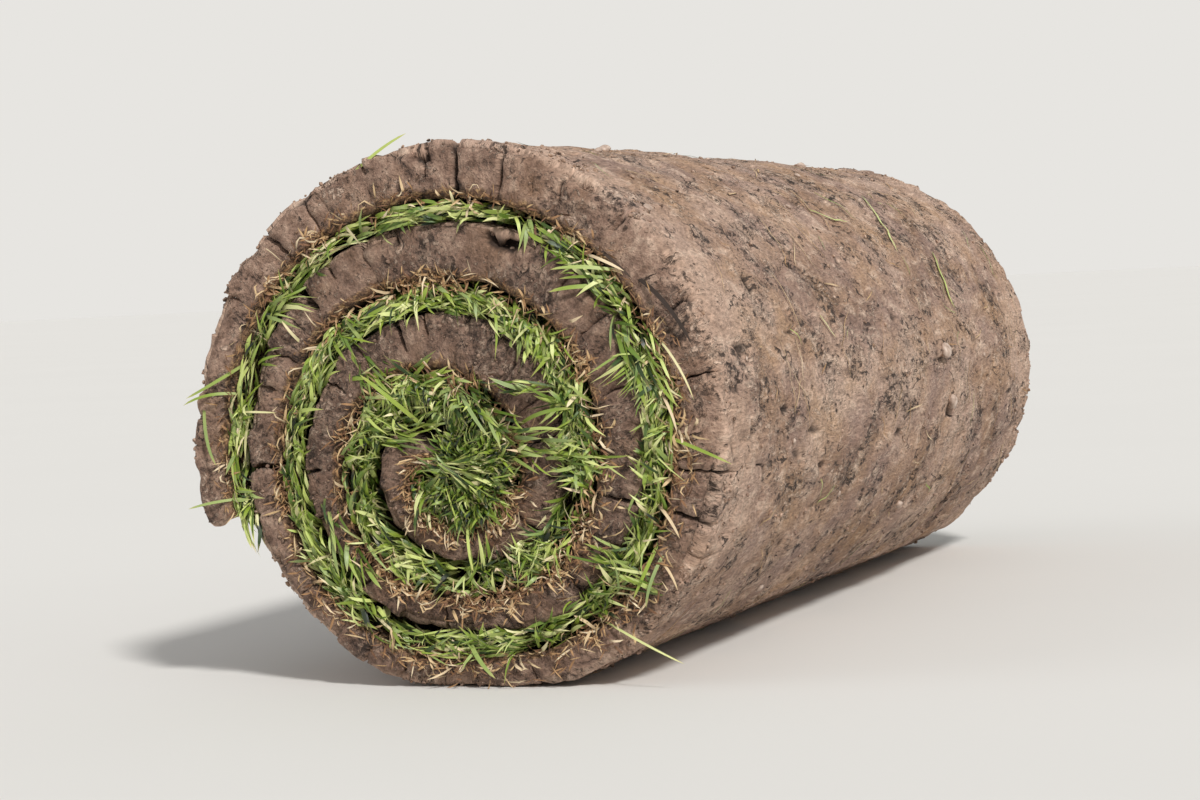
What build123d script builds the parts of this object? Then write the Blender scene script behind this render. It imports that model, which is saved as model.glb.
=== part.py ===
"""A roll of turf: one strip of soil and grass, wound up with its grass inwards, lying on its side.

The roll's axis runs along Y and its front end faces -Y. The origin is on the floor under the middle of the
roll, and all sizes are in millimetres. The section is drawn as it is seen from the front, with X to the
right and Z up. A place along the winding is given in degrees, counted clockwise from the strip's outer end.
"""

from build123d import *

import os
from math import cos, degrees, radians, sin

# The strip of turf
strip_width = 610.0
soil_thickness = 19.5

# How it is wound: the grass is pressed flat between the turns, and less so in each turn further in
outer_radius = 133.0
turns = 3.17
outer_end_angle = 197.0
pressed_sward = 8.0
loosening_per_turn = 5.0

# How far each turn lies to the left of the last one, and below it, because the roll sinks under its weight
lean_left = 2.4
lean_down = 5.1

# How far the underside has settled on the floor, and how the cut ends look
rest_sag = 4.0
rim_rounding = 6.0
sward_overhang = 8.0
mouth_depth = 14.0

strip_thickness = soil_thickness + pressed_sward
full_turn = 360.0
wound_angle = turns * full_turn
lean = Vector(-lean_left, -lean_down)
spline_step = 20.0


def outward(wind):
    """The direction from the winding centre to the surface."""
    angle = radians(outer_end_angle - wind)
    return Vector(cos(angle), sin(angle))


def radius(wind):
    """The radius of the strip's soil side, which shrinks faster where the grass is less pressed."""
    turn = wind / full_turn
    return outer_radius - strip_thickness * turn - loosening_per_turn * turn * (turn - 1) / 2


def soil_side(wind):
    """A point on the strip's soil side, which faces out."""
    return lean * (wind / full_turn) + outward(wind) * radius(wind)


def grass_side(wind):
    """The point straight across the soil, which is thinner on the side that the roll leans to."""
    return soil_side(wind) - outward(wind) * (soil_thickness - lean.dot(outward(wind)))


def wind_along(side, start, end):
    """Draws one side of the strip from one place along the winding to another."""
    spans = max(2, round(abs(end - start) / spline_step))
    Spline(*[side(start + (end - start) * i / spans) for i in range(spans + 1)])


# The outline of the roll: one turn of the soil side, closed by the step at the strip's outer end
with BuildSketch() as outline:
    with BuildLine():
        wind_along(soil_side, 0, full_turn)
        Line(soil_side(full_turn), grass_side(0))
        Line(grass_side(0), soil_side(0))
    make_face()

outline_box = outline.sketch.bounding_box()
floor_height = outline_box.min.Y + rest_sag
middle = outline_box.center().X
front = Plane(origin=(-middle, -strip_width / 2, -floor_height), x_dir=(1, 0, 0), z_dir=(0, -1, 0))
back = Plane(origin=(-middle, strip_width / 2, -floor_height), x_dir=(1, 0, 0), z_dir=(0, -1, 0))

# The grass on the cut ends: what is left open between the turns of soil, and the middle of the roll
with BuildSketch() as sward:
    with BuildLine():
        wind_along(grass_side, 0, wound_angle)
        Line(grass_side(wound_angle), soil_side(wound_angle))
        wind_along(soil_side, wound_angle, full_turn)
        Line(soil_side(full_turn), grass_side(0))
    make_face()

# The mouth under the strip's outer end, where the grass lies back from the cut
mouth_wind = degrees(mouth_depth / outer_radius)
with BuildSketch() as mouth:
    with BuildLine():
        wind_along(grass_side, 0, mouth_wind)
        Line(grass_side(mouth_wind), soil_side(full_turn + mouth_wind))
        wind_along(soil_side, full_turn + mouth_wind, full_turn)
        Line(soil_side(full_turn), grass_side(0))
    make_face()

# The roll, with its turns in relief on both ends and a flat where it has settled on the floor
with BuildPart() as turf_roll:
    with BuildSketch(front):
        add(outline.sketch)
    extrude(amount=-strip_width)
    end_edges = turf_roll.faces().filter_by(Axis.Y).edges()
    fillet(end_edges.filter_by(GeomType.BSPLINE), rim_rounding)
    with BuildSketch(Plane.XY):
        Rectangle(3 * outer_radius, 2 * strip_width)
    extrude(amount=-rest_sag, mode=Mode.SUBTRACT)
    with BuildSketch(front):
        add(sward.sketch)
    extrude(amount=sward_overhang)
    with BuildSketch(back):
        add(sward.sketch)
    extrude(amount=-sward_overhang)
    with BuildSketch(front.offset(sward_overhang)):
        add(mouth.sketch)
    extrude(amount=-(strip_width + 2 * sward_overhang), mode=Mode.SUBTRACT)
turf_roll.part.label = "turf_roll"

os.makedirs("parts", exist_ok=True)
export_step(turf_roll.part, "parts/turf_roll.step")
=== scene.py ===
"""A roll of turf: soil, roots and grass, wound up with the grass inwards.

Lengths are in metres, and in the tables of single things in millimetres. A place in the strip is given by
three numbers: how far it lies along the strip from the outer end, how far along the roll's axis, and how deep
below the soil side, which faces out.
"""

import math

import bmesh
import bpy
import numpy as np
from mathutils import Matrix, Vector


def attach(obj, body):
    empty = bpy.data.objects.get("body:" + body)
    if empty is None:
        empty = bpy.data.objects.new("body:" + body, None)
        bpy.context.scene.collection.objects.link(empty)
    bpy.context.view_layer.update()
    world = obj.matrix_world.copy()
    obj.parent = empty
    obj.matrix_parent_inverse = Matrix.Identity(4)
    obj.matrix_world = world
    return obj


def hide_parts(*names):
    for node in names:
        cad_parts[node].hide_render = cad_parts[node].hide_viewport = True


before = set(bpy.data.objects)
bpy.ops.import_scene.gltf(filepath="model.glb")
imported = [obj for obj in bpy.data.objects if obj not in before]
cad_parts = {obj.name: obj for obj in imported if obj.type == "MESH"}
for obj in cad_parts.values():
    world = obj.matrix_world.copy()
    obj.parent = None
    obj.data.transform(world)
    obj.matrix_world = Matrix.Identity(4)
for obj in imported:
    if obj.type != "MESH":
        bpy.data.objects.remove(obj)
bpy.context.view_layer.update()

# The strip and its winding, as in the solid
STRIP_WIDTH = 0.610
SOIL_THICKNESS = 0.0195
OUTER_RADIUS = 0.133
TURNS = 3.17
OUTER_END_ANGLE = 197.0
PRESSED_SWARD = 0.008
LOOSENING_PER_TURN = 0.005
LEAN = np.array([-0.0024, -0.0051])
REST_SAG = 0.004

MM = 0.001
FULL_TURN = 360.0
HALF_WIDTH = STRIP_WIDTH / 2
WOUND_ANGLE = FULL_TURN * TURNS
FRONT, BACK = -1.0, 1.0

# Where the outer piece of soil ends, in degrees along the winding, and the gap before the inner one begins
JOIN_WIND = 372.0
JOIN_GAP = 0.0004

# The height that everything keeps above the floor
CLEARANCE = 0.0002


# Smooth random numbers in space

def hashed(ix, iy, iz, seed):
    """A random number from 0 to 1 for each corner of a grid."""
    n = ix * 374761393 + iy * 668265263 + iz * 2147483647 + seed * 1274126177
    n = (n ^ (n >> 13)) * 1103515245 & 0xFFFFFFFF
    n = (n ^ (n >> 16)) * 2654435769 & 0xFFFFFFFF
    n = n ^ (n >> 15)
    return (n & 0xFFFFFF) / float(0xFFFFFF)


def noise(points, size, seed, octaves=1):
    """Smooth noise from -1 to 1 whose lumps are about as large as size, which may differ by axis."""
    total, weight, height = np.zeros(len(points)), 0.0, 1.0
    for octave in range(octaves):
        q = points / np.asarray(size) * 2 ** octave + 17.3 * octave
        cell = np.floor(q).astype(np.int64)
        f = q - cell
        f = f * f * f * (f * (f * 6 - 15) + 10)
        value = np.zeros(len(points))
        for corner in range(8):
            dx, dy, dz = corner & 1, corner >> 1 & 1, corner >> 2
            share = np.abs(1 - dx - f[:, 0]) * np.abs(1 - dy - f[:, 1]) * np.abs(1 - dz - f[:, 2])
            value += share * hashed(cell[:, 0] + dx, cell[:, 1] + dy, cell[:, 2] + dz, seed + octave)
        total += height * (2 * value - 1)
        weight += height
        height *= 0.5
    return total / weight


def ramp(value, low, high):
    """0 below low, 1 above high, and smooth between."""
    t = np.clip((value - low) / (high - low), 0, 1)
    return t * t * (3 - 2 * t)


def stacked(*parts):
    """Puts lists of numbers side by side. A single number stands for a list of it."""
    return np.stack(np.broadcast_arrays(*parts), axis=1)


# The winding

def outward(wind):
    angle = np.radians(OUTER_END_ANGLE - wind)
    return np.stack([np.cos(angle), np.sin(angle)], axis=-1)


def soil_side(wind):
    """A point on the strip's soil side in the section, with X to the right and Z up."""
    turn = np.asarray(wind) / FULL_TURN
    radius = OUTER_RADIUS - (SOIL_THICKNESS + PRESSED_SWARD) * turn
    radius = radius - LOOSENING_PER_TURN * turn * (turn - 1) / 2
    return LEAN * turn[..., None] + outward(wind) * radius[..., None]


def soil_depth(wind):
    """How thick the soil is at a place along the winding."""
    return SOIL_THICKNESS - outward(wind) @ LEAN


def grass_room(wind):
    """How much room the grass has before it meets the next turn of soil, or the roll's middle."""
    wind = np.asarray(wind, float)
    inner = soil_side(wind) - outward(wind) * soil_depth(wind)[..., None]
    gap = np.linalg.norm(inner - soil_side(np.minimum(wind + FULL_TURN, WOUND_ANGLE)), axis=-1)
    heart = np.linalg.norm(inner - LEAN * TURNS, axis=-1)
    return np.where(wind < WOUND_ANGLE - FULL_TURN, gap, np.minimum(gap, heart))


table_wind = np.arange(0.0, WOUND_ANGLE + 0.25, 0.5)
table_points = soil_side(table_wind)
table_steps = np.linalg.norm(np.diff(table_points, axis=0), axis=1)
table_length = np.concatenate([[0.0], np.cumsum(table_steps)])
one_turn = table_points[table_wind <= FULL_TURN]
SECTION_MIDDLE = (one_turn[:, 0].min() + one_turn[:, 0].max()) / 2
LOWEST = one_turn[one_turn[:, 1].argmin()]
FLOOR_HEIGHT = LOWEST[1] + REST_SAG


def wind_at(along):
    """The place on the winding, in degrees, of a distance along the strip's soil side."""
    return np.interp(along, table_length, table_wind)


def along_at(wind):
    return np.interp(wind, table_wind, table_length)


TURN_LENGTH = float(along_at(FULL_TURN))
STRIP_LENGTH = float(along_at(WOUND_ANGLE))


def settle(x, z):
    """Lifts the section where the roll has sunk onto the floor, less so further up."""
    low_x = LOWEST[0] - SECTION_MIDDLE
    dent = REST_SAG - (x - low_x) ** 2 / (1.9 * OUTER_RADIUS)
    dent = 0.5 * (dent + np.sqrt(dent ** 2 + 0.0006 ** 2))
    return z + dent * np.exp(-np.maximum(z, 0) / 0.035)


def place(along, axis, depth):
    """The point in space of a place in the strip. It works a little outside the strip too."""
    wind = wind_at(along) + np.degrees(np.minimum(along, 0.0) / OUTER_RADIUS)
    section = soil_side(wind) - outward(wind) * depth[:, None]
    x = section[:, 0] - SECTION_MIDDLE
    points = stacked(x, axis, settle(x, section[:, 1] - FLOOR_HEIGHT))
    sway = stacked(*[noise(points, 0.12, seed, 2) for seed in (3, 5, 7)])
    points += sway * np.array([0.0022, 0.0024, 0.0020]) * ramp(points[:, 2], 0.0, 0.05)[:, None]
    return points


def directions(along):
    """The strip's own directions in space: along the winding, along the axis, and out of its soil side."""
    x, z = outward(wind_at(along)).T
    return stacked(z, 0, -x), stacked(0 * x, 1, 0), stacked(x, 0, z)


# Meshes

def put(name, data):
    """Makes an object and puts it in the scene."""
    made = bpy.data.objects.new(name, data)
    bpy.context.scene.collection.objects.link(made)
    return made


def make_mesh(name, points, faces, material, attributes, sharp=None):
    mesh = bpy.data.meshes.new(name)
    mesh.from_pydata(points.tolist(), [], faces)
    mesh.polygons.foreach_set("use_smooth", np.ones(len(mesh.polygons), bool))
    for attribute, values in attributes.items():
        kind, field = ("FLOAT_VECTOR", "vector") if values.ndim == 2 else ("FLOAT", "value")
        layer = mesh.attributes.new(attribute, kind, "POINT")
        layer.data.foreach_set(field, values.astype(np.float32).ravel())
    if sharp is not None:
        ends = np.empty(2 * len(mesh.edges), np.int32)
        mesh.edges.foreach_get("vertices", ends)
        layer = mesh.attributes.new("sharp_edge", "BOOLEAN", "EDGE")
        layer.data.foreach_set("value", sharp(*ends.reshape(-1, 2).T))
    mesh.materials.append(material)
    mesh.validate()
    shell = bmesh.new()
    shell.from_mesh(mesh)
    bmesh.ops.recalc_face_normals(shell, faces=shell.faces)
    shell.to_mesh(mesh)
    shell.free()
    piece = put(name, mesh)
    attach(piece, "root")
    return piece


# Materials

def tint(red, green, blue):
    """A colour as it is seen, from 0 to 255, as the shader wants it."""
    return [((c / 255 + 0.055) / 1.055) ** 2.4 if c > 10 else c / 3295 for c in (red, green, blue)] + [1.0]


class Look:
    """A material, or the world around, that is built up from its nodes."""

    def __init__(self, owner):
        owner.use_nodes = True
        self.owner, self.tree = owner, owner.node_tree

    def fill(self, node, inputs):
        """Gives a node its inputs, which are values or the outputs of other nodes."""
        for socket, value in inputs.items():
            if isinstance(value, bpy.types.NodeSocket):
                self.tree.links.new(value, node.inputs[socket])
            else:
                node.inputs[socket].default_value = value
        return node

    def add(self, kind, inputs=None, **settings):
        made = self.tree.nodes.new("ShaderNode" + kind)
        for setting, value in settings.items():
            setattr(made, setting, value)
        return self.fill(made, inputs or {})

    def attribute(self, name, output="Fac"):
        return self.add("Attribute", attribute_name=name).outputs[output]

    def noise(self, vector, size, detail=2.0, stretch=(1, 1, 1), roughness=0.55, output="Fac"):
        """Noise whose lumps are about as large as size, and longer along the axes with a stretch above 1."""
        scale = [1 / (size * s) for s in stretch]
        mapped = self.add("Mapping", {"Vector": vector, "Scale": scale}).outputs["Vector"]
        inputs = {"Vector": mapped, "Scale": 1.0, "Detail": detail, "Roughness": roughness}
        return self.add("TexNoise", inputs).outputs[output]

    def bent(self, vector, size, amount, stretch):
        """Each place moved about at random, and further along the axes with a stretch above 1."""
        wobble = self.noise(vector, size, 2.0, stretch, 0.5, "Color")
        inputs = {0: wobble, 1: [amount * s for s in stretch], 2: vector}
        return self.add("VectorMath", inputs, operation="MULTIPLY_ADD").outputs["Vector"]

    def lines(self, vector, size, stretch, width):
        """Thin lines that meander, and run along the axes with a stretch above 1."""
        fold = self.sums("SUBTRACT", self.noise(vector, size, 5, stretch, 0.5), 0.5)
        return self.between(self.sums("ABSOLUTE", fold, 0.0), width, 0.2 * width)

    def sums(self, operation, first, second, third=0.0):
        """Any step of arithmetic."""
        return self.add("Math", {0: first, 1: second, 2: third}, operation=operation).outputs["Value"]

    def between(self, value, low, high, start=0.0, end=1.0):
        inputs = {"Value": value, "From Min": low, "From Max": high, "To Min": start, "To Max": end}
        return self.add("MapRange", inputs).outputs["Result"]

    def colours(self, value, stops):
        band = self.add("ValToRGB", {"Fac": value})
        points = band.color_ramp.elements
        while len(points) < len(stops):
            points.new(0.5)
        for point, (position, colour) in zip(points, stops):
            point.position = position
            point.color = tint(*colour)
        return band.outputs["Color"]

    def mix(self, share, first, second, blend="MIX"):
        inputs = {0: share, 6: first, 7: second}
        return self.add("Mix", inputs, data_type="RGBA", blend_type=blend).outputs[2]

    def tinted(self, below, value, low, high, share, colour):
        """Mixes in a colour, more and more so as the value goes from low to high."""
        return self.mix(self.between(value, low, high, 0.0, share), below, tint(*colour))

    def shaded(self, colour, shade):
        """The colour made darker or lighter."""
        grey = self.add("CombineColor", {0: shade, 1: shade, 2: shade}).outputs[0]
        return self.mix(1.0, colour, grey, "MULTIPLY")

    def bump(self, height, strength, distance):
        inputs = {"Height": height, "Strength": strength, "Distance": distance}
        return self.add("Bump", inputs).outputs["Normal"]

    def finish(self, colour, normal, roughness):
        inputs = {"Base Color": colour, "Normal": normal, "Roughness": roughness}
        self.fill(self.tree.nodes["Principled BSDF"], inputs)
        return self.owner


# Bands of colour, from 0 to 1
SKIN = [(0.0, (136, 109, 94)), (0.35, (160, 131, 115)), (0.65, (178, 149, 131)), (1.0, (200, 171, 150))]
FACE = [(0.0, (92, 70, 57)), (0.35, (138, 110, 94)), (0.65, (164, 135, 117)), (1.0, (198, 170, 149))]
FIBRES = [(0.0, (54, 37, 26)), (0.5, (122, 88, 58)), (1.0, (204, 166, 118))]
STONE = [(0.0, (150, 128, 114)), (0.5, (186, 164, 148)), (1.0, (214, 196, 182))]
GREENS = [(0.0, (20, 32, 10)), (0.16, (46, 70, 20)), (0.30, (98, 124, 40)), (0.42, (144, 164, 60)),
          (0.52, (136, 154, 94)), (0.64, (186, 200, 104)), (0.78, (208, 214, 144)), (1.0, (230, 212, 174))]
TANS = [(0.0, (70, 44, 30)), (0.25, (126, 88, 60)), (0.5, (172, 132, 90)), (0.75, (206, 174, 128)),
        (1.0, (234, 214, 180))]
DARK = [(0.0, (38, 28, 22)), (1.0, (96, 76, 62))]


def drawn_out(stretch):
    """Marks in the soil are longer along the roll's axis than along the winding."""
    return 1.0, stretch, 1.0


def make_soil():
    """Dry on the skin and damper where it is cut, with painted shade in its cracks, pits and hollows, on the
    inner turns and low on the cut ends. Its marks lie along the roll's axis.
    """
    look = Look(bpy.data.materials.new("dry_soil"))
    strip = look.attribute("strip", "Vector")
    cut, recess_shade = look.attribute("cut"), look.attribute("recess_shade")
    thatch, margin = look.attribute("thatch"), look.attribute("margin")
    inner_and_low_shade = look.attribute("inner_and_low_shade")
    bent = look.bent(strip, 0.0045, 0.0030, drawn_out(2.2))
    wide = look.bent(strip, 0.026, 0.012, drawn_out(2.2))
    patches = look.noise(wide, 0.050, 5, drawn_out(1.8))
    hue = look.noise(wide, 0.028, 5, drawn_out(1.8))
    crumbly = look.between(look.noise(wide, 0.024, 5, drawn_out(1.6)), 0.42, 0.60)
    mottle = look.noise(strip, 0.0070, 6, drawn_out(2.6), 0.66)
    grain = look.noise(strip, 0.0014, 4, drawn_out(3.0), 0.66)
    crowd = look.between(crumbly, 0.0, 1.0, -0.105, 0.036)
    specks = look.noise(bent, 0.0030, 4, drawn_out(2.2), 0.62)
    pepper = look.sums("SUBTRACT", specks, crowd)
    torn = look.sums("SUBTRACT", look.noise(bent, 0.0075, 5, drawn_out(1.6), 0.65), crowd)
    pits = look.sums("MAXIMUM", look.between(pepper, 0.385, 0.360), look.between(torn, 0.362, 0.342))
    pits = look.sums("MULTIPLY", pits, look.between(cut, 0.2, 0.9, 1.0, 0.7))
    lumps = look.between(look.sums("ADD", specks, crowd), 0.57, 0.63)
    broken = look.between(look.noise(strip, 0.016, 4, drawn_out(1.8)), 0.54, 0.61)
    cracks = look.sums("MULTIPLY", look.lines(bent, 0.018, drawn_out(1.9), 0.014), broken)
    across = look.sums("MULTIPLY", look.lines(bent, 0.014, (1.0, 1.0, 3.5), 0.022), broken)
    cracks = look.sums("MULTIPLY_ADD", cut, look.sums("SUBTRACT", across, cracks), cracks)

    skin = look.colours(look.between(patches, 0.32, 0.68), SKIN)
    skin = look.tinted(skin, hue, 0.44, 0.70, 0.75, (174, 138, 104))
    skin = look.tinted(skin, hue, 0.44, 0.30, 0.50, (148, 123, 114))
    paler = look.between(patches, 0.30, 0.60, 0.25, 0.9)
    light = look.sums("MULTIPLY", look.between(margin, 0.1, 0.8), paler)
    skin = look.mix(light, skin, tint(190, 160, 140))
    skin = look.tinted(skin, mottle, 0.52, 0.66, 0.65, (224, 197, 175))
    skin = look.tinted(skin, mottle, 0.46, 0.33, 0.45, (98, 74, 59))
    face = look.colours(look.between(mottle, 0.30, 0.70), FACE)
    face = look.tinted(face, hue, 0.48, 0.72, 0.55, (146, 112, 84))
    colour = look.mix(look.between(cut, 0.3, 0.9), skin, face)
    colour = look.mix(look.sums("MULTIPLY", lumps, 0.55), colour, tint(216, 190, 169))
    # Painted shade: the inner turns, and the cut ends low down near the floor, are multiplied darker
    colour = look.mix(look.sums("MULTIPLY", inner_and_low_shade, 0.5), colour, tint(150, 138, 128), "MULTIPLY")

    fibres = look.noise(bent, 0.0016, 4, (3.0, 1.0, 1.0))
    straw = look.colours(look.between(fibres, 0.35, 0.65), FIBRES)
    ragged = look.sums("ADD", thatch, look.between(mottle, 0.35, 0.65, -0.4, 0.4))
    colour = look.mix(look.between(ragged, 0.4, 0.9, 0.0, 0.85), colour, straw)
    contrast = look.between(cut, 0.2, 0.9, 2.2, 1.7)
    shade = look.sums("MULTIPLY_ADD", look.sums("SUBTRACT", grain, 0.5), contrast, 1.0)
    colour = look.shaded(colour, shade)
    # Painted shade: the pits, the open cracks and the recesses are darkened towards dark brown
    open_cracks = look.sums("MULTIPLY", cracks, 0.90)
    shadow = look.sums("MAXIMUM", look.sums("MULTIPLY", pits, 0.86), open_cracks)
    shadow = look.sums("MAXIMUM", shadow, look.between(recess_shade, 0.35, 0.80, 0.0, 0.9))
    colour = look.mix(shadow, colour, tint(46, 32, 25))

    height = mottle
    for part, weight in ((grain, 0.40), (look.between(pepper, 0.44, 0.33), -0.65),
                         (look.between(torn, 0.40, 0.30), -0.8), (cracks, -0.7), (lumps, 0.45)):
        height = look.sums("MULTIPLY_ADD", part, weight, height)
    return look.finish(colour, look.bump(height, 1.0, 0.0034), look.between(grain, 0.2, 0.8, 0.98, 0.82))


def make_blades(name, stops, base, tip_colour, roughness):
    """Grass or straw, coloured by the tone of each blade, paler at its foot and drier at its tip."""
    look = Look(bpy.data.materials.new(name))
    blade = look.attribute("blade", "Vector")
    tone, tip = look.attribute("tone"), look.attribute("tip")
    colour = look.colours(tone, stops)
    colour = look.tinted(colour, tip, 0.45, 0.0, 0.6, base)
    colour = look.tinted(colour, tip, 0.78, 1.0, 0.55, tip_colour)
    veins = look.noise(blade, 1.0, 3, (0.35, 0.22, 1.0))
    colour = look.shaded(colour, look.between(veins, 0.25, 0.75, 0.74, 1.22))
    return look.finish(colour, look.bump(veins, 0.3, 0.0003),
                       look.between(veins, 0.2, 0.8, roughness + 0.1, roughness - 0.1))


def make_stone():
    look = Look(bpy.data.materials.new("small_stone"))
    place_on = look.add("TexCoord").outputs["Object"]
    spots = look.noise(place_on, 0.0025, 4)
    colour = look.colours(look.between(spots, 0.3, 0.7), STONE)
    return look.finish(colour, look.bump(spots, 0.4, 0.0006), look.between(spots, 0.2, 0.8, 0.7, 0.45))


soil = make_soil()
grass = make_blades("grass", GREENS, (152, 154, 84), (206, 190, 124), 0.42)
straw = make_blades("straw", TANS, (120, 92, 62), (196, 170, 126), 0.7)
root = make_blades("dark_root", DARK, (48, 36, 28), (72, 56, 44), 0.85)
stone = make_stone()


# The soil

# Where the soil has split as it was wound up: degrees along the winding, half the width of the split in
# millimetres, and how much of the soil's depth it goes through. Others are spread at random between these.
SEEN_SPLITS = np.array([
    (80.5, 0.9, 0.25), (87.0, 1.2, 0.30), (94.0, 1.1, 0.35), (100.5, 1.4, 0.70), (107.5, 2.3, 1.15),
    (119.0, 1.6, 1.10), (420.5, 2.2, 0.70), (430.5, 1.2, 0.45), (451.0, 1.3, 0.40), (806.0, 1.6, 0.70),
    (818.0, 1.1, 0.45),
])
split_rng = np.random.default_rng(12)
SPLITS = np.cumsum(split_rng.uniform(0.0090, 0.0245, 130))
SPLITS = SPLITS[(SPLITS > 0.022) & (SPLITS < STRIP_LENGTH - 0.004)]
SPLITS = SPLITS[np.abs(SPLITS[:, None] - along_at(SEEN_SPLITS[:, 0])).min(axis=1) > 0.0075]
chance = split_rng.random((3, len(SPLITS)))
SPLITS = np.concatenate([SPLITS, along_at(SEEN_SPLITS[:, 0])])
SPLIT_WIDTHS = np.append(0.0007 + 0.0010 * chance[0] ** 2, SEEN_SPLITS[:, 1] * MM)
SPLIT_REACH = np.append(0.25 + 0.95 * chance[1], SEEN_SPLITS[:, 2])
SPLIT_OPEN = np.append(ramp(chance[2], 0.25, 0.85), np.ones(len(SEEN_SPLITS)))
split_table = np.array([SPLITS, SPLIT_WIDTHS, SPLIT_REACH, SPLIT_OPEN])
SPLITS, SPLIT_WIDTHS, SPLIT_REACH, SPLIT_OPEN = split_table[:, np.argsort(SPLITS)]

# Soil that has broken away, in millimetres: the place along the strip, across it and down in it, how far the
# hollow reaches in each of these directions, and how deep it is
BROKEN = np.array([
    (965.6, -305, 5.2, 6.8, 5, 4.2, 11),
    (860.3, -305, 3, 2.2, 4, 4.6, 7),
    (225.8, -305, 4, 2.1, 6, 5.2, 7),
    (163, -305, 1, 6, 5, 3.6, 5),
    (129, -305, 1, 4.5, 5, 3, 4.5),
    (427, -215, 0, 2.6, 9, 4, 2.8),
    (440.6, -165, 0, 3, 11, 4, 3),
    (452, -13, 0, 3, 8, 4, 3.4),
    (450.9, -189, 0, 2.4, 7, 4, 2.6),
    (459.2, -141, 0, 2.6, 9, 4, 2.6),
    (396.6, -265, 0, 2.2, 11, 4, 2.6),
    (393.4, -185, 0, 2.4, 10, 4, 2.4),
    (418, 78, 0, 3, 7, 4, 3),
    (448, 96, 0, 3, 8, 4, 3.2),
]) * MM


def splits(strip):
    """How open the nearest split is at each place, and two random numbers for each lump between splits."""
    along, axis, depth = strip.T
    side = np.sign(axis).astype(np.int64)
    after = np.searchsorted(SPLITS, along)
    right = np.clip(after, 1, len(SPLITS) - 1)
    nearest = right - (along - SPLITS[right - 1] < SPLITS[right] - along)
    reach = SPLIT_REACH[nearest]
    run = 0.005 + 0.030 * hashed(nearest, side, 2, 73) ** 2
    away = np.abs(along - SPLITS[nearest]) / SPLIT_WIDTHS[nearest]
    notch = SPLIT_OPEN[nearest] * (1 - ramp(away, 0.1, 1.0))
    notch *= 1 - ramp(depth / soil_depth(wind_at(along)), reach - 0.25, reach)
    notch *= 1 - ramp(HALF_WIDTH - np.abs(axis), 0.004, run)
    return notch, hashed(after, side, 3, 73), hashed(after, side, 4, 73)


def hollows(strip):
    """How deep the soil has broken away at each place."""
    uneven = 1 + 0.85 * noise(strip, (0.0036, 0.0060, 0.0036), 91, 2)
    deep = np.zeros(len(strip))
    for row in BROKEN:
        far = (((strip - row[:3]) / row[3:6]) ** 2).sum(axis=1) * uneven
        deep = np.maximum(deep, row[6] * np.exp(-far ** 2))
    return deep


def marks(strip, size, across, seed, octaves=1):
    """Noise in the soil, whose lumps have their own size across the strip."""
    return noise(strip, (size, across, size), seed, octaves)


def relief(strip, cut):
    """How far the soil's surface stands out from its smooth shape, and how much painted shade each place gets
    in its cracks, splits, pits and hollows.

    Strip holds the place along, across and down in the strip, and cut is 1 on the two ends and 0 on the skin.
    """
    skin = 1 - cut
    rim = 4 * cut * skin
    rise = 0.0007 * marks(strip, 0.042, 0.080, 11, 2)
    crumbly = 0.6 + 0.6 * ramp(marks(strip, 0.045, 0.070, 17), -0.3, 0.5)
    drift = marks(strip, 0.026, 0.050, 51, 2)[:, None] * np.array([0.006, 0.015, 0.006])
    rise += 0.0008 * marks(strip + drift, 0.013, 0.026, 21, 2) * (0.5 + 0.5 * skin) * crumbly
    rise += 0.0008 * marks(strip + drift, 0.0050, 0.0090, 31, 2) * (0.7 + 0.3 * skin) * crumbly

    # Cracks run along the roll's axis on the skin, and splits go down into the soil from the rim
    patch = ramp(marks(strip, 0.030, 0.045, 41), 0.10, 0.40)
    crack = skin * patch * (1 - ramp(np.abs(marks(strip, 0.022, 0.042, 61, 3)), 0.0, 0.045))
    notch, lump, loss = splits(strip)
    pit = ramp(marks(strip, 0.0080, 0.0140, 81), 0.36, 0.62)
    hollow = hollows(strip)
    rise -= 0.0014 * crack + 0.0056 * notch + 0.0010 * pit * (0.4 + 0.6 * skin) + hollow

    # The lumps between the splits are shifted a little, and the rim has lost some of its soil
    from_end = HALF_WIDTH - np.abs(strip[:, 1])
    edge = 1 - ramp(from_end, 0.002, 0.016)
    rise += (lump - 0.5) * (0.0018 * cut + 0.0020 * edge * skin)
    rise += rim * (0.0018 * noise(strip, 0.0070, 95, 2) - 0.0030 * ramp(noise(strip, 0.017, 97), 0.1, 0.6))
    chipped = ramp(loss, 0.55, 0.95) * (1 - ramp(np.maximum(from_end, strip[:, 2]), 0.0010, 0.0070))
    rise -= 0.0042 * chipped * (strip[:, 2] < 0.5 * SOIL_THICKNESS)
    # Painted shade: the cracks, splits, pits and broken hollows are made darker
    recess_shade = np.clip(0.75 * crack + notch + 0.3 * pit + hollow / 0.0036, 0, 1)
    return rise, recess_shade


# The rim is worn round about here, in degrees along the winding, and crisp elsewhere
WORN_WIND = 218.0


def rounded(strip, end_along):
    """Rounds the edges of the unrolled strip. Returns the new places and the directions out of them."""
    along, _, depth = strip.T
    wind = wind_at(along)
    full_depth = soil_depth(wind)
    worn = 1 - ramp(np.abs(wind - WORN_WIND), 55.0, 115.0)
    soft = 0.0034 + 0.0042 * worn - 0.0008 * ramp(wind, 350.0, 380.0)
    soft *= 1 + 0.3 * noise(stacked(along, 0, 0), 0.03, 13)
    radius = np.where(depth < 0.6 * full_depth, soft, 0.0030)
    low = stacked(end_along[0] + radius, radius - HALF_WIDTH, radius)
    high = stacked(end_along[1] - radius, HALF_WIDTH - radius, full_depth - radius)
    core = np.clip(strip, low, high)
    normal = strip - core
    normal /= np.linalg.norm(normal, axis=1, keepdims=True)
    return core + normal * radius[:, None], normal


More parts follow.
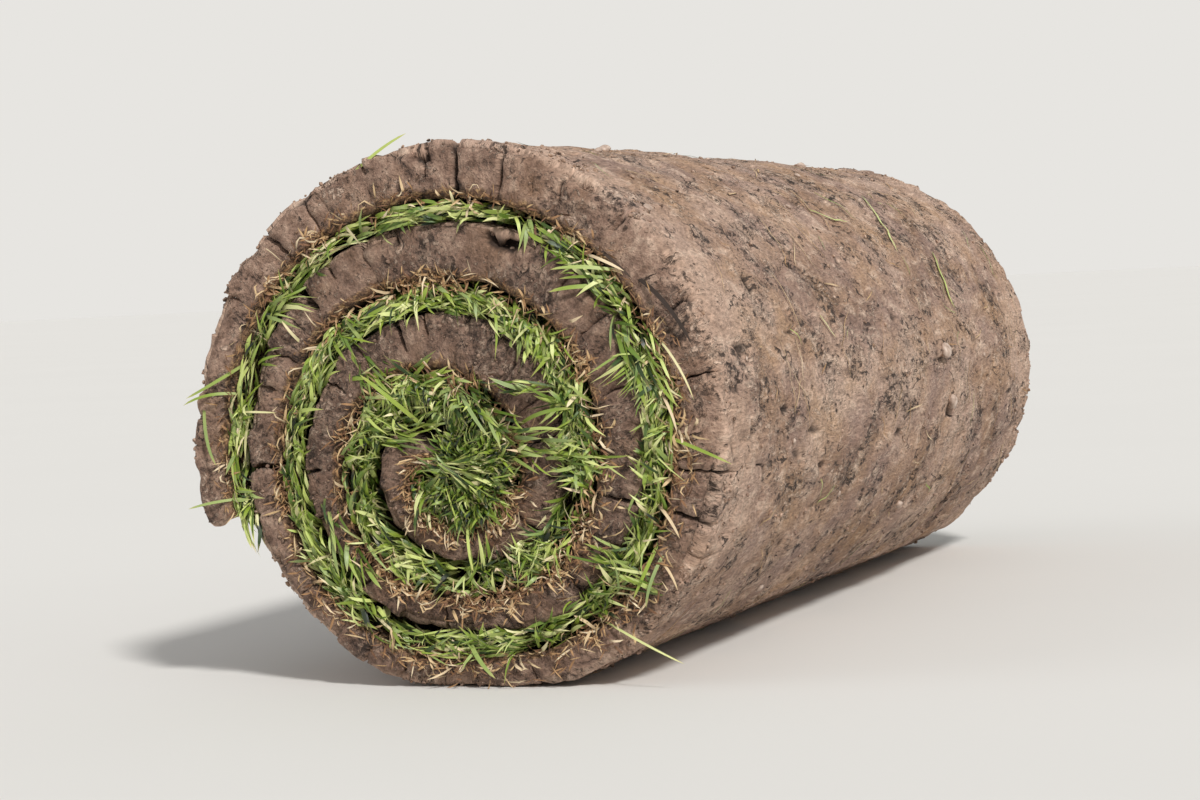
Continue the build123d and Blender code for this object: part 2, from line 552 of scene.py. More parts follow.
def slipped(along, axis):
    """The place along the roll's axis, as the turns stand out or lie back a little at each end."""
    return axis * (1 + 0.0105 * noise(stacked(along, np.sign(axis), 0), (0.11, 9.0, 9.0), 15, 2))


def soil_surface(strip, normal):
    """Where the surface of the soil lies in space, which way it faces, and how it is coloured."""
    cut = np.abs(normal[:, 1]) ** 1.5
    rise, recess_shade = relief(strip, cut)
    rise = rise * (1 - 0.5 * ramp(normal[:, 2], 0.2, 0.9))
    forward, across, out = directions(strip[:, 0])
    facing = forward * normal[:, :1] + across * normal[:, 1:2] - out * normal[:, 2:]
    across_end = stacked(strip[:, 1], 0, 0)
    fray = 0.0045 * noise(across_end, 0.055, 23, 2) + 0.0016 * noise(across_end, 0.011, 25, 2)
    along = strip[:, 0] + fray * np.exp(-strip[:, 0] / 0.012)
    wander = 0.0021 * noise(strip, (0.013, 0.030, 0.0070), 43, 3)
    along += wander * ramp(STRIP_LENGTH - strip[:, 0], 0.0, 0.008)
    points = place(along, slipped(strip[:, 0], strip[:, 1]), strip[:, 2]) + facing * rise[:, None]
    points[:, 2] = 0.5 * (points[:, 2] + np.sqrt(points[:, 2] ** 2 + 0.0005 ** 2))
    wind = wind_at(strip[:, 0])
    thatch = ramp(strip[:, 2] / soil_depth(wind), 0.70, 0.95)
    margin = 1 - ramp(HALF_WIDTH - np.abs(strip[:, 1]), 0.004, 0.075)
    # Painted shade: how much darker the inner turns and the cut ends low down near the floor are made
    inner_and_low_shade = np.clip(0.65 * ramp(wind, 330.0, 480.0) + 0.6 * cut * (1 - ramp(points[:, 2], 0.01, 0.13)), 0, 1)
    return points, facing, {"strip": strip, "cut": cut, "recess_shade": recess_shade, "thatch": thatch, "margin": margin,
                            "inner_and_low_shade": inner_and_low_shade}


def on_soil(along, axis, depth):
    """Points on the soil, and the way that it faces there, for places on the skin or on the two ends."""
    return soil_surface(*rounded(stacked(along, axis, depth), (0.0, STRIP_LENGTH)))[:2]


def quads(block):
    """The faces of a grid of vertex numbers."""
    return np.stack([block[:-1, :-1], block[1:, :-1], block[1:, 1:], block[:-1, 1:]], axis=-1).reshape(-1, 4)


# Where the layers of points lie in the soil, from its skin at 0 to its grass side at 1
LAYERS = np.linspace(0, 1, 14)


def soil_piece(name, along, axis, grass_columns, open_rows):
    """One closed length of the strip. Its grass side has only the grass columns, except in its first open
    rows, which can be seen under the strip's outer end."""
    rows, columns, layers = len(along), len(axis), len(LAYERS)
    number = np.arange(rows * columns * layers).reshape(rows, columns, layers)
    faces = [quads(number[:, :, 0]), quads(number[open_rows + 1:-1][:, grass_columns, -1])]
    faces += [quads(number[:open_rows + 1, :, -1]), quads(number[:, 0, :]), quads(number[:, -1, :])]
    faces += [quads(number[0]), quads(number[-1])]
    faces = np.concatenate(faces).tolist()
    for fine_row, next_row in ((open_rows, open_rows + 1), (rows - 1, rows - 2)):
        for left, right in zip(grass_columns[:-1], grass_columns[1:]):
            faces.append([*number[fine_row, left:right + 1, -1], *number[next_row, [right, left], -1]])
    used = np.unique(np.concatenate([np.array(face) for face in faces]))
    order = np.full(number.size, -1)
    order[used] = np.arange(len(used))
    faces = [order[face].tolist() for face in faces]
    row, column, layer = np.unravel_index(used, number.shape)
    strip = stacked(along[row], axis[column], soil_depth(wind_at(along[row])) * LAYERS[layer])
    points, _, attributes = soil_surface(*rounded(strip, (along[0], along[-1])))
    return make_mesh(name, points, faces, soil, attributes)


# Grass, roots and straw, as three-sided strands that end in a point

def strands(name, paths, width, facing, material, tone):
    """Each row of paths is the line of one strand. Facing is the direction that its flat is turned to."""
    count, rings = len(paths), paths.shape[1] - 1
    tangent = np.gradient(paths, axis=1)
    tangent /= np.linalg.norm(tangent, axis=2, keepdims=True) + 1e-12
    side = np.cross(tangent, facing[:, None])
    side /= np.linalg.norm(side, axis=2, keepdims=True) + 1e-12
    flat = np.cross(side, tangent)
    share = np.arange(rings) / rings
    spread = (width[:, None] * (0.7 + 1.2 * share - 1.5 * share ** 2))[..., None] / 2
    body, side, flat = paths[:, :-1], side[:, :-1], flat[:, :-1]
    corners = np.stack([body + side * spread, body - side * spread, body - flat * spread * 0.5], axis=2)
    points = np.concatenate([corners.reshape(count, -1, 3), paths[:, -1:]], axis=1)
    points[..., 2] = np.maximum(points[..., 2], CLEARANCE)
    size, last = 3 * rings + 1, 3 * rings - 3
    sides = ((0, 1), (1, 2), (2, 0))
    walls = [[k + a, k + b, k + 3 + b, k + 3 + a] for k in range(0, last, 3) for a, b in sides]
    ends = [[2, 1, 0]] + [[last + a, last + b, size - 1] for a, b in sides]
    start = size * np.arange(count)[:, None, None]
    faces = (np.array(walls) + start).reshape(-1, 4).tolist()
    faces += (np.array(ends) + start).reshape(-1, 3).tolist()
    along = np.tile(np.append(np.repeat(share, 3), 1.0), count)
    across = np.tile(np.append(np.tile([1.0, -1.0, 0.0], rings), 0.0), count)
    blade = stacked(along, across, 3.7 * np.repeat(np.arange(count), size))
    attributes = {"blade": blade, "tip": along, "tone": np.repeat(tone, size)}

    def lengthwise(first, second):
        return (np.abs(first - second) == 3) | (np.maximum(first, second) % size == size - 1)

    return make_mesh(name, points.reshape(-1, 3), faces, material, attributes, lengthwise)


def curves(start, middle, end, rings):
    """Smooth lines through three control points each."""
    t = np.linspace(0, 1, rings + 1)[None, :, None]
    return start[:, None] * (1 - t) ** 2 + middle[:, None] * 2 * t * (1 - t) + end[:, None] * t ** 2


def end_facing(rng, side, count):
    """Strands at an end turn their flat out of it, each a little differently."""
    return np.array([0.0, side, 0.0]) + rng.normal(0, 0.5, (count, 3))


def in_gap(along, lines, side):
    """Lines given by how far they run along the winding, how high they rise from the grass side and how far
    they stand out of the end, as lines in space."""
    count, steps = lines.shape[:2]
    along = (along[:, None] + lines[..., 0]).ravel()
    height, stand = lines[..., 1].ravel(), lines[..., 2].ravel()
    wind = wind_at(along)
    room = grass_room(wind)
    own = np.abs(slipped(along, side * HALF_WIDTH))
    other = np.abs(slipped(np.minimum(along_at(wind + FULL_TURN), STRIP_LENGTH), side * HALF_WIDTH))
    share = ramp(height / room, 0.1, 0.9)
    edge = own + (other - own) * share
    inside = wind < WOUND_ANGLE - FULL_TURN
    over_soil = ramp(-height, 0.0, 0.003) + ramp(height - room, 0.0, 0.003) * inside
    stand = np.where(stand > -0.004, np.maximum(stand, 0.0022 * over_soil + stand * (1 - over_soil)), stand)
    return place(along, side * (edge + stand), soil_depth(wind) + height).reshape(count, steps, 3)


def along_gap(rng, count):
    """Places along the winding, spread evenly over the room that the grass has."""
    winds = np.arange(0.0, WOUND_ANGLE, 0.5)
    share = np.cumsum(grass_room(winds) * np.gradient(along_at(winds)))
    return np.interp((np.arange(count) + rng.random(count)) / count * share[-1], share, winds)


def shaggy(wind):
    """How untidy the ends are, from 0 to 1. They are tidiest at the upper left."""
    return 0.25 + 0.75 * (0.5 + 0.5 * np.cos(np.radians(OUTER_END_ANGLE - wind + 35.0)))


def end_grass(name, side, count, seed):
    """The grass that shows at one end of the roll. It grows in tufts that lie one way along the winding."""
    rng = np.random.default_rng(seed)
    tuft_wind = along_gap(rng, count // 5)
    line = stacked(along_at(tuft_wind), 0, 0)
    thick = 0.72 + 0.65 * noise(line, 0.022, seed + 1, 2)
    tuft_wind = tuft_wind[rng.random(len(tuft_wind)) < thick]
    line = stacked(along_at(tuft_wind), 0, 0)
    tufts = len(tuft_wind)
    tuft = rng.integers(0, tufts, count)
    along = along_at(tuft_wind[tuft]) + rng.normal(0, 0.0032, count)
    wind = wind_at(along)
    room = grass_room(wind)
    inner = ramp(wind, 300.0, 420.0)
    middle_part = ramp(wind, WOUND_ANGLE - 370.0, WOUND_ANGLE - 340.0)

    # The thatch takes up the outer part of each gap, and the blades lie in the rest of it
    untidy = shaggy(wind)
    low = 0.04 + (0.05 * (1 - untidy) + 0.04 * inner) * (1 - middle_part)
    high = 0.90 + 0.10 * untidy - 0.30 * middle_part
    kind = rng.random(count)
    under = kind < 0.31
    level = np.where(under, rng.random(count), low + (high - low) * rng.random(tufts)[tuft])
    level_end = 0.45 * level + 0.55 * (low + (high - low) * rng.random(count))
    rise = np.clip(level * room + rng.normal(0, 0.0004, count) * (1 + 2 * untidy), 0.0003, room + 0.0006)
    sway = np.where(noise(line, 0.05, seed) + rng.uniform(-0.35, 0.35, tufts) > 0, 1.0, -1.0)[tuft]
    sway *= np.where(rng.random(count) < 0.92, 1.0, -1.0)
    reach = rng.uniform(0.009, 0.026, tufts)[tuft] * rng.uniform(0.7, 1.25, count)
    crossing = kind > 0.965 - 0.095 * untidy
    out = (kind > 0.91 - 0.16 * untidy) & ~crossing
    wild = rng.random(tufts)[tuft] < 0.03 + 0.11 * untidy + 0.08 * middle_part
    root = -rng.uniform(0.001, 0.010, count) - 0.008 * under
    forward = sway * reach * np.where(out | crossing, rng.uniform(0.3, 0.85, count), 1.0)
    stand = rng.uniform(-0.0014, 0.0016 + 0.0018 * untidy, count)
    for some, least, most in ((under, -0.009, -0.002), (out, 0.002, 0.004 + 0.007 * untidy),
                              (crossing, 0.002, 0.006)):
        stand = np.where(some, rng.uniform(least, most, count), stand)
    climb = (level_end - level) * room + rng.normal(0, 0.0005, count)
    climb += out * untidy * rng.normal(0.0005, 0.0032, count)
    climb += inner * rng.uniform(0.0, 0.14, tufts)[tuft] * reach
    climb += crossing * rng.choice([-1.0, 1.0, 1.0], count) * rng.uniform(0.003, 0.011, count)
    climb += wild * rng.normal(0.4, 0.9, tufts)[tuft] * 0.008
    reach = np.where(wild, 1.3 * reach, reach)
    middle = stacked(forward * rng.uniform(0.25, 0.6, count),
                     rise + rng.normal(0, 0.0006, count) * (1 + untidy),
                     np.where(out, 0.6, 1.15) * stand + rng.uniform(0.0, 0.0020, count))
    lines = curves(stacked(0, rise, root), middle, stacked(forward, rise + climb, stand), 4)
    paths = in_gap(along, lines, side)
    paths[:, 1:, 2] -= rng.uniform(0.0, 0.0012, count)[:, None] * np.array([0.1, 0.3, 0.6, 1.0])
    facing = end_facing(rng, side, count)
    width = (0.0008 + 0.0015 * rng.random(count) ** 1.6) * (1 + 0.4 * under)
    # Painted shade: blades that lie under the others, and the blades near the middle of the roll, get darker
    # tones
    tone = rng.normal(0.44, 0.15, tufts)[tuft] + rng.normal(0, 0.15, count) - 0.28 * under
    tone = np.clip(tone - 0.16 * ramp(wind, 700.0, WOUND_ANGLE), 0.0, 0.8)
    dry = rng.random(count) < 0.13 - 0.07 * inner
    tone = np.where(dry, rng.uniform(0.72, 1.0, count), tone)
    return strands(name, paths, width, facing, grass, tone)


# The middle of the tuft that fills the roll, in X and Z
HEART = np.array([0.0095, 0.0920])


def heart_grass(name, side, count, seed):
    """The tuft that fills the middle of the roll, with its blades pointing out all round."""
    rng = np.random.default_rng(seed)
    turn = rng.uniform(0, 2 * np.pi, count)
    far = np.sqrt(rng.random(count))
    reach = rng.uniform(0.006, 0.016, count)
    turn_out = turn + rng.normal(0, 0.8, count)
    start = HEART + far[:, None] * stacked(0.013 * np.cos(turn), 0.016 * np.sin(turn))
    end = start + reach[:, None] * stacked(np.cos(turn_out), np.sin(turn_out))
    stand = rng.uniform(0.001, 0.012, count)
    root = HALF_WIDTH - rng.uniform(0.004, 0.016, count)
    lines = [stacked(p[:, 0], side * y, p[:, 1]) for p, y in
             ((start, root), (start * 0.6 + end * 0.4, HALF_WIDTH + stand), (end, HALF_WIDTH + 0.5 * stand))]
    paths = curves(*lines, 4)
    facing = end_facing(rng, side, count)
    # Painted shade: the heart's blades get darker tones than the grass at the ends, for the deep middle of
    # the roll
    tone = np.clip(rng.normal(0.25, 0.20, count), 0.0, 0.8)
    return strands(name, paths, rng.uniform(0.0007, 0.0016, count), facing, grass, tone)


def end_thatch(name, side, count, seed):
    """Short dry stems and roots at the grass side of the soil, where it is cut."""
    rng = np.random.default_rng(seed)
    wind = rng.uniform(0, WOUND_ANGLE, 3 * count)
    bare = np.maximum(0.50 + 1.4 * noise(stacked(along_at(wind), 0, 0), 0.020, seed, 2), 0.35)
    wind = wind[rng.random(3 * count) < bare * (0.3 + 0.7 * shaggy(wind))][:count]
    count, along = len(wind), along_at(wind)
    turn = rng.normal(0, 0.7, count) + np.where(rng.random(count) < 0.5, np.pi, 0.0)
    turn = np.where(rng.random(count) < 0.35, rng.uniform(0, 2 * np.pi, count), turn)
    curl = rng.random(count) < 0.12
    length = rng.uniform(0.0020, 0.0078, count) * (1 + 0.6 * curl)
    rise = rng.normal(-0.0012, 0.0018, count)
    rise += (0.12 + 0.20 * ramp(wind, 300.0, 420.0)) * rng.random(count) * grass_room(wind)
    rise -= rng.random(count) ** 3 * 0.012 * shaggy(wind) ** 2
    run, climb = np.cos(turn) * length, np.sin(turn) * length
    stand = rng.uniform(0.0004, 0.0030, count) * (1 + curl)
    start = stacked(0, rise, -rng.uniform(0.0, 0.002, count))
    bow = rng.normal(0, 0.0006, count) + curl * rng.normal(0, 0.0035, count)
    middle = stacked(run * 0.5, rise + climb * 0.5 + bow, stand)
    end = stacked(run, rise + climb, stand * rng.uniform(0.2, 1.1, count))
    paths = in_gap(along, curves(start, middle, end, 3), side)
    facing = end_facing(rng, side, count)
    tone = np.where(curl, rng.uniform(0.75, 1.0, count), rng.beta(1.6, 2.8, count))
    width = (0.0004 + 0.0008 * rng.random(count) ** 1.5) * (1 + 0.3 * curl)
    return strands(name, paths, width, facing, straw, tone)


def mouth_grass(name, count, seed):
    """The grass that sticks out from under the strip's outer end."""
    rng = np.random.default_rng(seed)
    along = rng.uniform(0.001, 0.012, count)
    axis = rng.uniform(-0.302, 0.302, count)
    wind = wind_at(along)
    room = grass_room(wind)
    rise = rng.uniform(0.03, 0.97, count) * room
    out = rng.uniform(0.002, 0.016, count) * (0.6 + 0.8 * (noise(stacked(axis, axis, axis), 0.03, 7) > 0))
    drift = rng.normal(0, 0.005, count)
    lines = curves(stacked(along, axis, rise),
                   stacked(-0.3 * out, axis + 0.4 * drift, rise + rng.normal(0, 0.001, count)),
                   stacked(-out, axis + drift, rise + rng.normal(-0.0005, 0.0022, count)), 4)
    x, y, z = lines.reshape(-1, 3).T
    paths = place(x, y, soil_depth(wind_at(x)) + z).reshape(lines.shape)
    facing = directions(along)[2] + rng.normal(0, 0.5, (count, 3))
    tone = np.clip(rng.normal(0.42, 0.2, count), 0.0, 1.0)
    return strands(name, paths, rng.uniform(0.0007, 0.0015, count), facing, grass, tone)


# Single long blades that stray over the front end: X and Z of three points each, how far the blade stands out
# and its width, all in millimetres, and its tone
STRAYS = [
    (-94.9, 145.1, -108.8, 135.2, -124.1, 129.2, 5, 1.7, 0.46),
    (-99, 130, -112, 133, -125, 126.2, 6, 1.5, 0.38),
    (93, 108, 112, 103.5, 129, 94.6, 6.5, 1.6, 0.40),
    (-45, 221, -27, 234.5, -13, 240, 1, 1.6, 0.62),
    (64, 30, 86.1, 19.7, 103.5, 11.2, 4, 1.1, 0.80),
    (90, 154, 108, 140, 113, 121.5, 5, 1.1, 0.92),
    (80, 170, 61.4, 172.2, 50.6, 169.1, 5, 2, 0.44),
    (84, 176, 64.3, 180.8, 52, 178.5, 6, 1.7, 0.58),
    (82, 173, 68, 176, 55, 174.5, 4, 1.5, 0.34),
    (-101, 84, -114, 83.5, -126.2, 80.1, 4, 1.4, 0.55),
    (-119, 129, -116.4, 109.1, -111, 99, 4, 1.6, 0.50),
    (2, 24, 10, 13, 18, 5, 5, 2.1, 0.48),
    (94, 66, 88.5, 50, 82, 38.5, 5, 1.7, 0.40),
    (96, 60, 90, 47, 88, 35, 6, 1.6, 0.52),
    (101, 133, 103.5, 116, 102, 101, 5, 1.5, 0.36),
    (5, 76, 8.5, 59.9, 10.1, 51, 5, 1.4, 0.66),
    (-11.8, 82, -10, 74.2, -9, 69, 4, 1.3, 0.90),
    (-10.3, 111, -23.2, 129.2, -36.6, 137.4, 10, 2, 0.42),
    (30, 112, 46.3, 120.5, 61, 120, 10, 2, 0.36),
    (28, 108, 42, 114, 56, 111, 9, 1.7, 0.60),
    (1.8, 135.8, 13, 120.4, 22.1, 108, 8, 1.9, 0.52),
    (-36.1, 146, -38.5, 156, -44.5, 162, 6, 1.8, 0.56),
    (-68, 150, -70.5, 156, -75.5, 162, 4, 1.4, 0.95),
    (6, 206, 9.4, 211.1, 7, 214.5, 4, 1.3, 0.93),
    (-104, 122.2, -91.9, 122.8, -80.2, 121.7, 4, 1.1, 0.88),
]

# Dark roots near the rim, and single straws, given in the same way
DARK_ROOTS = [
    (85.7, 174.8, 103.5, 166, 113.5, 144, 4.6, 2, 0.10),
    (70, 187.5, 80, 181.5, 88, 173, 4, 1.6, 0.40),
]
STRAWS = [
    (64, 185, 77.1, 181.6, 85, 176.3, 5, 1.4, 0.97),
    (93, 130, 104, 119, 105, 108, 5, 1.3, 0.94),
    (90, 80, 101, 74, 104, 64, 5, 1.4, 0.90),
    (90, 56, 100, 52, 102, 42, 4.5, 1.2, 0.86),
]


def strays(name, rows, material):
    *lengths, tone = np.array(rows).T
    start_x, start_z, middle_x, middle_z, end_x, end_z, stand, width = np.array(lengths) * MM
    start = stacked(start_x, 0.003 - HALF_WIDTH, start_z)
    middle = stacked(middle_x, -HALF_WIDTH - 1.5 * stand, middle_z)
    end = stacked(end_x, -HALF_WIDTH - stand, end_z)
    facing = np.tile([0.15, -1.0, 0.35], (len(rows), 1))
    return strands(name, curves(start, middle, end, 8), width, facing, material, tone)


# Tufts that lie across the cut soil at the front end: X and Z of one end and of the other, how wide the tuft
# is and how far it stands out, all in millimetres, and how many blades it has
TUFTS = [
    (-50, 158, -29, 133, 9, 7, 34),
    (-46, 131, 6, 133, 8, 7, 42),
    (2, 133, 34, 106, 8, 8, 38),
    (26, 105, 74, 98.5, 10, 7, 38),
    (64, 121, 30, 130, 6, 9, 20),
    (93, 43, 70, 56, 7, 7, 26),
    (78, 158, 98, 126, 10, 6, 46),
    (-64, 82, -42, 50, 6, 6, 22),
    (-33, 109, 0, 117, 7, 4, 34),
]

# Tufts at the back end, where the grass around the strip's inner end spreads over the gap
HEART_TUFTS = [
    (-35, 108, 2, 117, 8, 4, 60),
    (5, 120, -20, 98, 8, 4, 40),
]


def loose_tufts(name, side, rows, seed):
    rng = np.random.default_rng(seed)
    starts, ends, tones = [], [], []
    for *lengths, count in rows:
        start_x, start_z, end_x, end_z, wide, stand = np.array(lengths) * MM
        start, run = np.array([start_x, start_z]), np.array([end_x - start_x, end_z - start_z])
        along = run / np.linalg.norm(run)
        across = np.array([-along[1], along[0]])
        foot = start + rng.uniform(-0.1, 0.8, (count, 1)) * run
        foot += rng.normal(0, 0.4 * wide, (count, 1)) * across
        turn = rng.normal(0, 0.32, (count, 1))
        length = rng.uniform(0.010, 0.024, (count, 1))
        tip = foot + length * (np.cos(turn) * along + np.sin(turn) * across)
        out = HALF_WIDTH + stand * rng.uniform(0.35, 1.1, (count, 1))
        starts.append(np.hstack([foot, HALF_WIDTH - 0.002 + 0 * out]))
        ends.append(np.hstack([tip, out]))
        tones.append(rng.normal(0.40, 0.08) + rng.normal(0, 0.15, count))
    start, end = np.concatenate(starts), np.concatenate(ends)
    middle = 0.6 * start + 0.4 * end + rng.normal(0, 0.0012, start.shape)
    middle[:, 2] = end[:, 2]
    lines = [stacked(p[:, 0], side * p[:, 2], p[:, 1]) for p in (start, middle, end)]
    facing = end_facing(rng, side, len(start))
    tone = np.clip(np.concatenate(tones), 0.0, 0.8)
    width = rng.uniform(0.0009, 0.0022, len(start))
    return strands(name, curves(*lines, 5), width, facing, grass, tone)


# Things that lie on the soil

def litter(name, count, seed, lengths, material, tones):
    """Fibres that lie flat on the skin, each a little wavy."""
    rng = np.random.default_rng(seed)
    along = along_at(rng.uniform(0.0, FULL_TURN, count))
    axis = rng.uniform(-0.29, 0.29, count)
    turn = rng.uniform(0, 2 * np.pi, count)
    length = rng.uniform(*lengths, count)
    step = stacked(np.cos(turn), np.sin(turn), 0) * length[:, None]
    bow = stacked(-np.sin(turn), np.cos(turn), 0) * (rng.normal(0, 0.07, count) * length)[:, None]
    start = stacked(along, axis, 0)
    lines = curves(start, start + step / 2 + bow, start + step, 4)
    lines[..., 0] = np.clip(lines[..., 0], 0.002, TURN_LENGTH)
    points, facing = on_soil(*lines.reshape(-1, 3).T)
    lift = rng.uniform(0.0003, 0.0009, count)[:, None] + np.array([0.0, 0.0003, 0.0006, 0.0005, 0.0008])
    paths = (points + facing * lift.reshape(-1, 1)).reshape(lines.shape)
    width, tone = rng.uniform(0.0004, 0.0009, count), rng.uniform(*tones, count)
    return strands(name, paths, width, facing.reshape(lines.shape)[:, 2], material, tone)


# Long pieces that lie on the skin: three places along the strip and across it and the width, all in
# millimetres, and the tone
LYING = [
    (356.4, 145, 375.5, 127, 391.3, 131, 2.6, 0.66),
    (327, -34, 334, -20, 337, 10, 1.2, 0.70),
    (310, 20, 318, 35, 334, 37, 1.2, 0.58),
    (388, -132, 392, -128, 399, -118, 1.2, 0.88),
    (311.5, 111, 334, 89, 357.5, 65, 2, 0.74),
]


def lying_blades(name):
    *lengths, tone = np.array(LYING).T
    *places, width = np.array(lengths) * MM
    lines = curves(*[stacked(places[k], places[k + 1], 0) for k in (0, 2, 4)], 8)
    points, facing = on_soil(*lines.reshape(-1, 3).T)
    paths = (points + 0.0011 * facing).reshape(lines.shape)
    return strands(name, paths, width, facing.reshape(lines.shape)[:, 4], grass, tone)


def scatter(name, centres, facing, sizes, seed, detail, material, squash=0.75):
    """Rough lumps, each a little different, sunk a little into what they lie on."""
    rng = np.random.default_rng(seed)
    ball = bmesh.new()
    bmesh.ops.create_icosphere(ball, subdivisions=detail, radius=1.0)
    shape = np.array([v.co for v in ball.verts])
    faces = np.array([[v.index for v in f.verts] for f in ball.faces])
    ball.free()
    count = len(centres)
    stretch = rng.uniform(0.65, 1.2, (count, 1, 3))
    bumps = 1 + rng.normal(0, 0.16, (count, len(shape), 1)) / detail
    spin = np.linalg.qr(rng.normal(size=(count, 3, 3)))[0]
    points = np.einsum("nij,nvj->nvi", spin, shape[None] * stretch * bumps) * sizes[:, None, None]
    height = np.einsum("nvi,ni->nv", points, facing)
    points -= facing[:, None] * (height * (1 - squash))[..., None]
    points += (centres + facing * sizes[:, None] * 0.25)[:, None]
    points[..., 2] = np.maximum(points[..., 2], CLEARANCE)
    points = points.reshape(-1, 3)
    start = len(shape) * np.arange(count)[:, None, None]
    grain = np.repeat(rng.uniform(-1, 1, (count, 3)), len(shape), axis=0) + points
    cut = np.repeat((np.abs(facing[:, 1]) > 0.7) * 0.8, len(shape))
    # The crumbs on the cut ends get a little of the painted shade
    attributes = {"strip": grain, "cut": cut, "recess_shade": 0 * cut, "thatch": 0 * cut, "margin": 0 * cut + 0.5,
                  "inner_and_low_shade": 0.3 * cut}
    return make_mesh(name, points, (faces + start).reshape(-1, 3).tolist(), material, attributes)


def soil_crumbs(name, count, seed):
    """Crumbs on the skin, most of them near the rims, and some on the cut ends."""
    rng = np.random.default_rng(seed)
    along = along_at(rng.uniform(0.0, JOIN_WIND, count))
    axis = rng.uniform(-0.30, 0.30, count)
    near = rng.random(count) < 0.40
    edge = HALF_WIDTH - np.abs(rng.normal(0, 0.016, count))
    axis = np.where(near, edge * np.where(rng.random(count) < 0.6, -1.0, 1.0), axis)
    cut = rng.random(count) < 0.25
    inner = along_at(rng.uniform(0.0, WOUND_ANGLE, count))
    along = np.where(cut, inner, along)
    axis = np.where(cut, HALF_WIDTH * np.sign(axis), axis)
    depth = np.where(cut, rng.uniform(0.001, 0.9, count) * soil_depth(wind_at(along)), 0)
    places = stacked(along, axis, depth)
    places = places[noise(places, (0.022, 0.045, 0.022), seed) > -0.05]
    centres, facing = on_soil(*places.T)
    sizes = 0.0004 + 0.0011 * rng.random(len(centres)) ** 4
    return scatter(name, centres, facing, sizes, seed, 1, soil)


# The two largest stones in the skin, in millimetres: along the strip, across it, and the size
STONES = [(413.4, 83, 5.2), (442.6, 99, 4.6)]


def pebbles(name, count, seed):
    rng = np.random.default_rng(seed)
    along, axis = along_at(rng.uniform(0.0, FULL_TURN, count)), rng.uniform(-0.29, 0.29, count)
    sizes = 0.0010 + 0.0022 * rng.random(count) ** 2
    big_along, big_axis, big_sizes = np.array(STONES).T * MM
    along, axis = np.append(along, big_along), np.append(axis, big_axis)
    centres, facing = on_soil(along, axis, 0)
    return scatter(name, centres, facing, np.append(sizes, big_sizes), seed, 2, stone, 0.6)


# The pieces

# How far apart the soil's points lie: across the strip near its ends, across it elsewhere, and along it
FINE_STEP, WIDE_STEP, ROW_STEP = 0.0016, 0.0031, 0.0024


def spaced(start, end, step):
    return np.linspace(start, end, max(2, round((end - start) / step) + 1))


def rows_along(start, end):
    """Rows of points along the strip, three of them drawn together at each split."""
    rows = spaced(start, end, ROW_STEP)
    for split in SPLITS[(SPLITS > start + 0.005) & (SPLITS < end - 0.005)]:
        nearest = np.abs(rows - split).argmin()
        width = SPLIT_WIDTHS[np.abs(SPLITS - split).argmin()]
        rows[nearest - 1:nearest + 2] = split + width * np.array([-1.0, 0.0, 1.0])
    return rows


join = float(along_at(JOIN_WIND))

# The outer turn has points all over its skin, and fewer of them on its hidden grass side
fine = spaced(-HALF_WIDTH, 0.045 - HALF_WIDTH, FINE_STEP)
axis = np.concatenate([fine, spaced(fine[-1], -fine[-1], WIDE_STEP)[1:-1], -fine[::-1]])
near_end = [0, 2, 4, 7, 11, 16, 22]
grass_columns = near_end + [len(axis) - 1 - column for column in near_end[::-1]]
outer_turn = soil_piece("outer_turn", rows_along(0.0, join), axis, grass_columns, open_rows=12)

# Of the inner turns, only the ends can be seen
deep = np.concatenate([spaced(0.0, 0.016, FINE_STEP), [0.019, 0.023, 0.029, 0.037]]) - HALF_WIDTH
inner_axis = np.concatenate([deep, -deep[::-1]])
inner_along = rows_along(join + JOIN_GAP, STRIP_LENGTH)
soil_piece("inner_turns", inner_along, inner_axis, list(range(len(inner_axis))), open_rows=2)
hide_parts("turf_roll")

# Pieces that are spread at random are given how many blades, fibres or lumps they have, and a seed
end_grass("grass_front", FRONT, 6500, 101)
end_grass("grass_back", BACK, 4800, 202)
heart_grass("grass_heart_front", FRONT, 460, 111)
heart_grass("grass_heart_back", BACK, 400, 222)
mouth_grass("grass_mouth", 1900, 303)
strays("stray_blades", STRAYS, grass)
strays("stray_straws", STRAWS, straw)
strays("stray_roots", DARK_ROOTS, root)
loose_tufts("loose_tufts", FRONT, TUFTS, 131)
loose_tufts("heart_tuft_back", BACK, HEART_TUFTS, 132)
lying_blades("lying_blades")
end_thatch("thatch_front", FRONT, 4200, 404)
end_thatch("thatch_back", BACK, 2400, 505)
litter("straw_litter", 260, 606, (0.006, 0.034), straw, (0.5, 0.95))
litter("grass_litter", 60, 707, (0.008, 0.030), grass, (0.3, 0.75))
soil_crumbs("soil_crumbs", 7600, 808)
pebbles("pebbles", 34, 909)


# The studio

FLOOR_RADIUS, FLOOR_CORNERS = 40.0, 64


def make_floor():
    look = Look(bpy.data.materials.new("floor"))
    place_on = look.add("TexCoord").outputs["Object"]
    shade = look.noise(place_on, 0.6, 3)
    colour = look.colours(shade, [(0.0, (222, 220, 216)), (1.0, (226, 224, 220))])
    return look.finish(colour, look.bump(look.noise(place_on, 0.02, 4), 0.04, 0.001), 0.8)


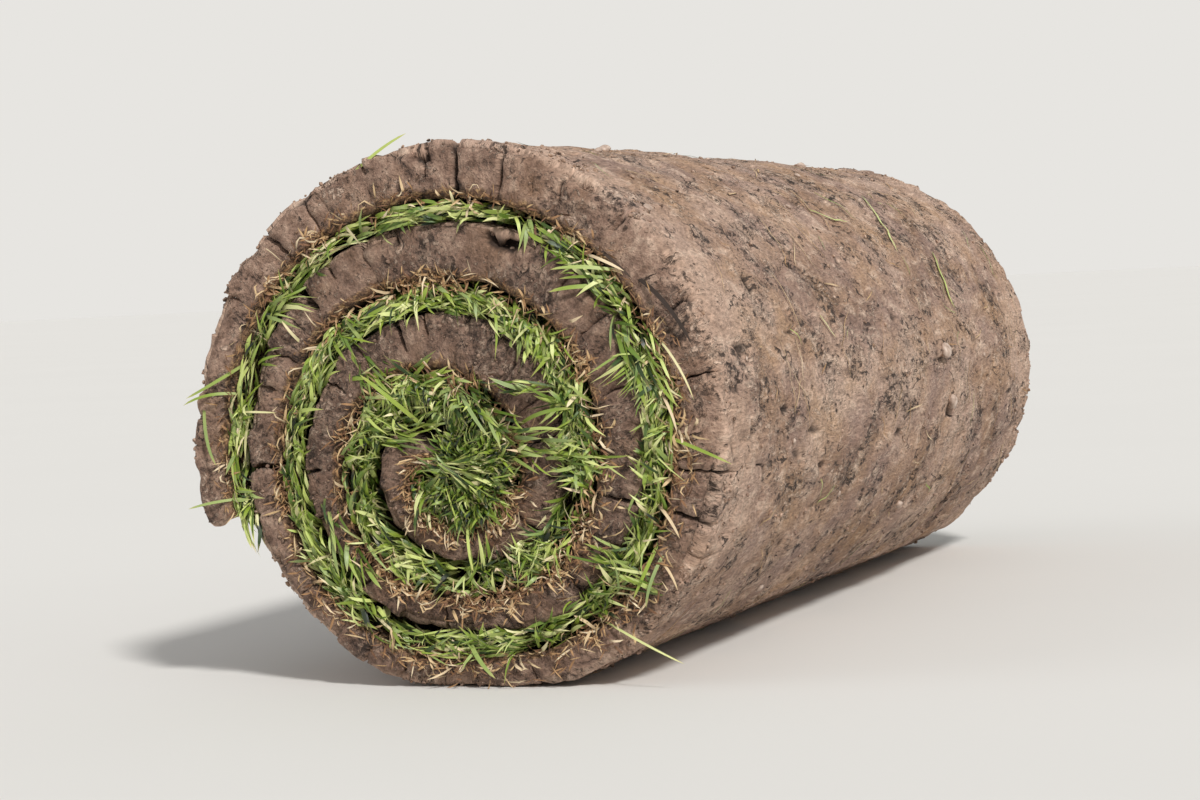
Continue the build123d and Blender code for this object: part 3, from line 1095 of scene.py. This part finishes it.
floor_mesh = bpy.data.meshes.new("floor")
turns_round = np.arange(FLOOR_CORNERS) * math.tau / FLOOR_CORNERS
ring = FLOOR_RADIUS * stacked(np.cos(turns_round), np.sin(turns_round), 0)
floor_mesh.from_pydata(ring.tolist(), [], [list(range(FLOOR_CORNERS))])
floor_mesh.materials.append(make_floor())
put("floor", floor_mesh)


def sun(name, strength, from_point, spread, colour):
    lamp = bpy.data.lights.new(name, "SUN")
    lamp.energy = strength
    lamp.angle = math.radians(spread)
    lamp.color = colour
    put(name, lamp).rotation_euler = Vector(from_point).to_track_quat("Z", "Y").to_euler()


sun("key", strength=2.85, from_point=(0.75, -0.80, 0.95), spread=8.0, colour=(1.0, 0.985, 0.96))
sun("fill", strength=0.3, from_point=(-1.0, -0.5, 0.7), spread=40.0, colour=(0.96, 0.98, 1.0))

studio = Look(bpy.data.worlds.new("studio"))
bpy.context.scene.world = studio.owner
soft = studio.fill(studio.tree.nodes["Background"], {"Color": (0.97, 0.985, 1.0, 1.0), "Strength": 0.39})
shown = studio.add("Background", {"Color": tint(231, 229, 225)})
ray = studio.add("LightPath").outputs
seen = studio.sums("MAXIMUM", ray["Is Camera Ray"], ray["Is Glossy Ray"])
seen = studio.sums("MAXIMUM", seen, ray["Is Transmission Ray"])
chosen = studio.add("MixShader", {"Fac": seen, 1: soft.outputs["Background"], 2: shown.outputs["Background"]})
studio.fill(studio.tree.nodes["World Output"], {"Surface": chosen.outputs["Shader"]})

# The camera sees the front end and the right side, and is rolled a little, in degrees
CAMERA_PLACE = Vector((0.500, -1.4632, 0.1726))
CAMERA_TARGET = Vector((0.012, -0.150, 0.116))
CAMERA_ROLL = 2.67
CAMERA_LENS, CAMERA_SENSOR = 88.0, 36.0
camera_data = bpy.data.cameras.new("camera")
camera_data.sensor_width = CAMERA_SENSOR
camera_data.lens = CAMERA_LENS
camera = put("camera", camera_data)
camera.location = CAMERA_PLACE
aim = (CAMERA_TARGET - CAMERA_PLACE).to_track_quat("-Z", "Y").to_matrix()
turn = Matrix.Rotation(math.radians(-CAMERA_ROLL), 3, "Z")
camera.rotation_euler = (aim @ turn).to_euler()
bpy.context.scene.camera = camera
bpy.context.scene.view_settings.view_transform = "Standard"
